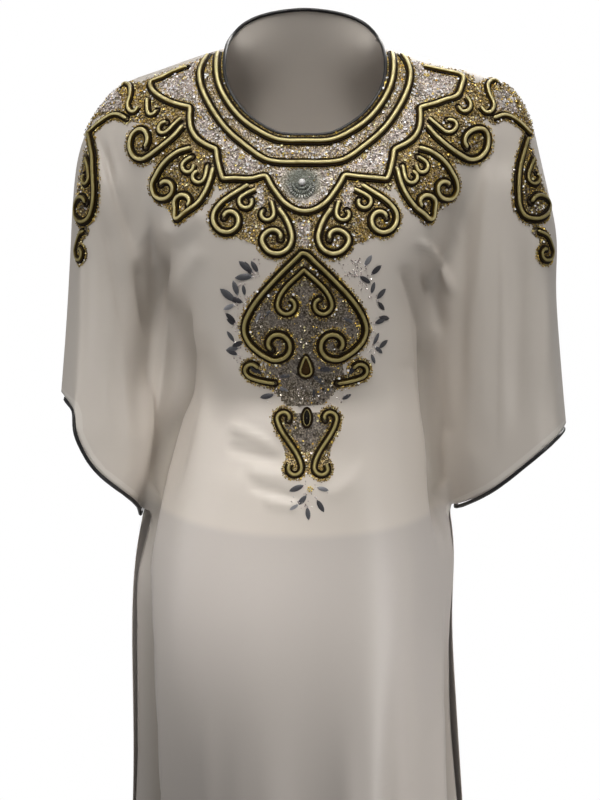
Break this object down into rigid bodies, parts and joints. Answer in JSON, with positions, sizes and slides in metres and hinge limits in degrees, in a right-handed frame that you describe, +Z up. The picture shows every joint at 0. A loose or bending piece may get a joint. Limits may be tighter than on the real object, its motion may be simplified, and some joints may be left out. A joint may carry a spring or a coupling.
{
  "type": "kaftan dress",
  "caption": "Long kaftan dress in its worn form, with wide half sleeves cut in one with the body, couched gold scroll cords on the yoke, black piping and a chest lining.",
  "frame": {"origin": "between the two shoulder seams, where the garment is carried, at the height of the neck's highest side points", "axes": "+Z up, -Y out of the front, +X towards the garment's left sleeve"},
  "size_m": [0.5355, 0.352, 1.4547],
  "materials": {
    "georgette": "sheer ivory georgette with a soft satin sheen",
    "lining": "plain cream lining cloth",
    "piping": "narrow black satin piping",
    "gold_cord": "olive gold metallic braid over a padded cord",
    "dark_cord": "very dark brown padded border cord",
    "beads": "gold, bronze and silver glass beads sewn close together"
  },
  "bodies": {
    "root": {"front": "georgette", "back": "georgette", "front_lining": "lining", "neck_piping": "piping", "left_cuff_piping": "piping", "right_cuff_piping": "piping", "neck_cord": "gold_cord", "back_neck_cord": "gold_cord", "collar_cord": "gold_cord", "stepped_cord": "gold_cord", "pendant_heart": "gold_cord", "pendant_inner_heart": "gold_cord", "pendant_drop": "gold_cord", "tail_oval": "gold_cord", "left_breast_outer": "gold_cord", "left_breast_inner": "gold_cord", "left_breast_thin_outer": "gold_cord", "left_breast_thin_inner": "gold_cord", "left_chest_outer": "gold_cord", "left_chest_inner": "gold_cord", "left_chest_thin_outer": "gold_cord", "left_chest_thin_inner": "gold_cord", "left_shoulder_lower": "gold_cord", "left_shoulder_thin": "gold_cord", "left_shoulder_curl": "gold_cord", "left_shoulder_hook": "gold_cord", "left_scallop": "gold_cord", "left_sleeve_outer": "gold_cord", "left_sleeve_inner": "gold_cord", "left_sleeve_tail": "gold_cord", "left_pendant_leaf": "gold_cord", "left_tail_scroll": "gold_cord", "right_breast_outer": "gold_cord", "right_breast_inner": "gold_cord", "right_breast_thin_outer": "gold_cord", "right_breast_thin_inner": "gold_cord", "right_chest_outer": "gold_cord", "right_chest_inner": "gold_cord", "right_chest_thin_outer": "gold_cord", "right_chest_thin_inner": "gold_cord", "right_shoulder_lower": "gold_cord", "right_shoulder_thin": "gold_cord", "right_shoulder_curl": "gold_cord", "right_shoulder_hook": "gold_cord", "right_scallop": "gold_cord", "right_sleeve_outer": "gold_cord", "right_sleeve_inner": "gold_cord", "right_sleeve_tail": "gold_cord", "right_pendant_leaf": "gold_cord", "right_tail_scroll": "gold_cord"}
  },
  "joints": []
}
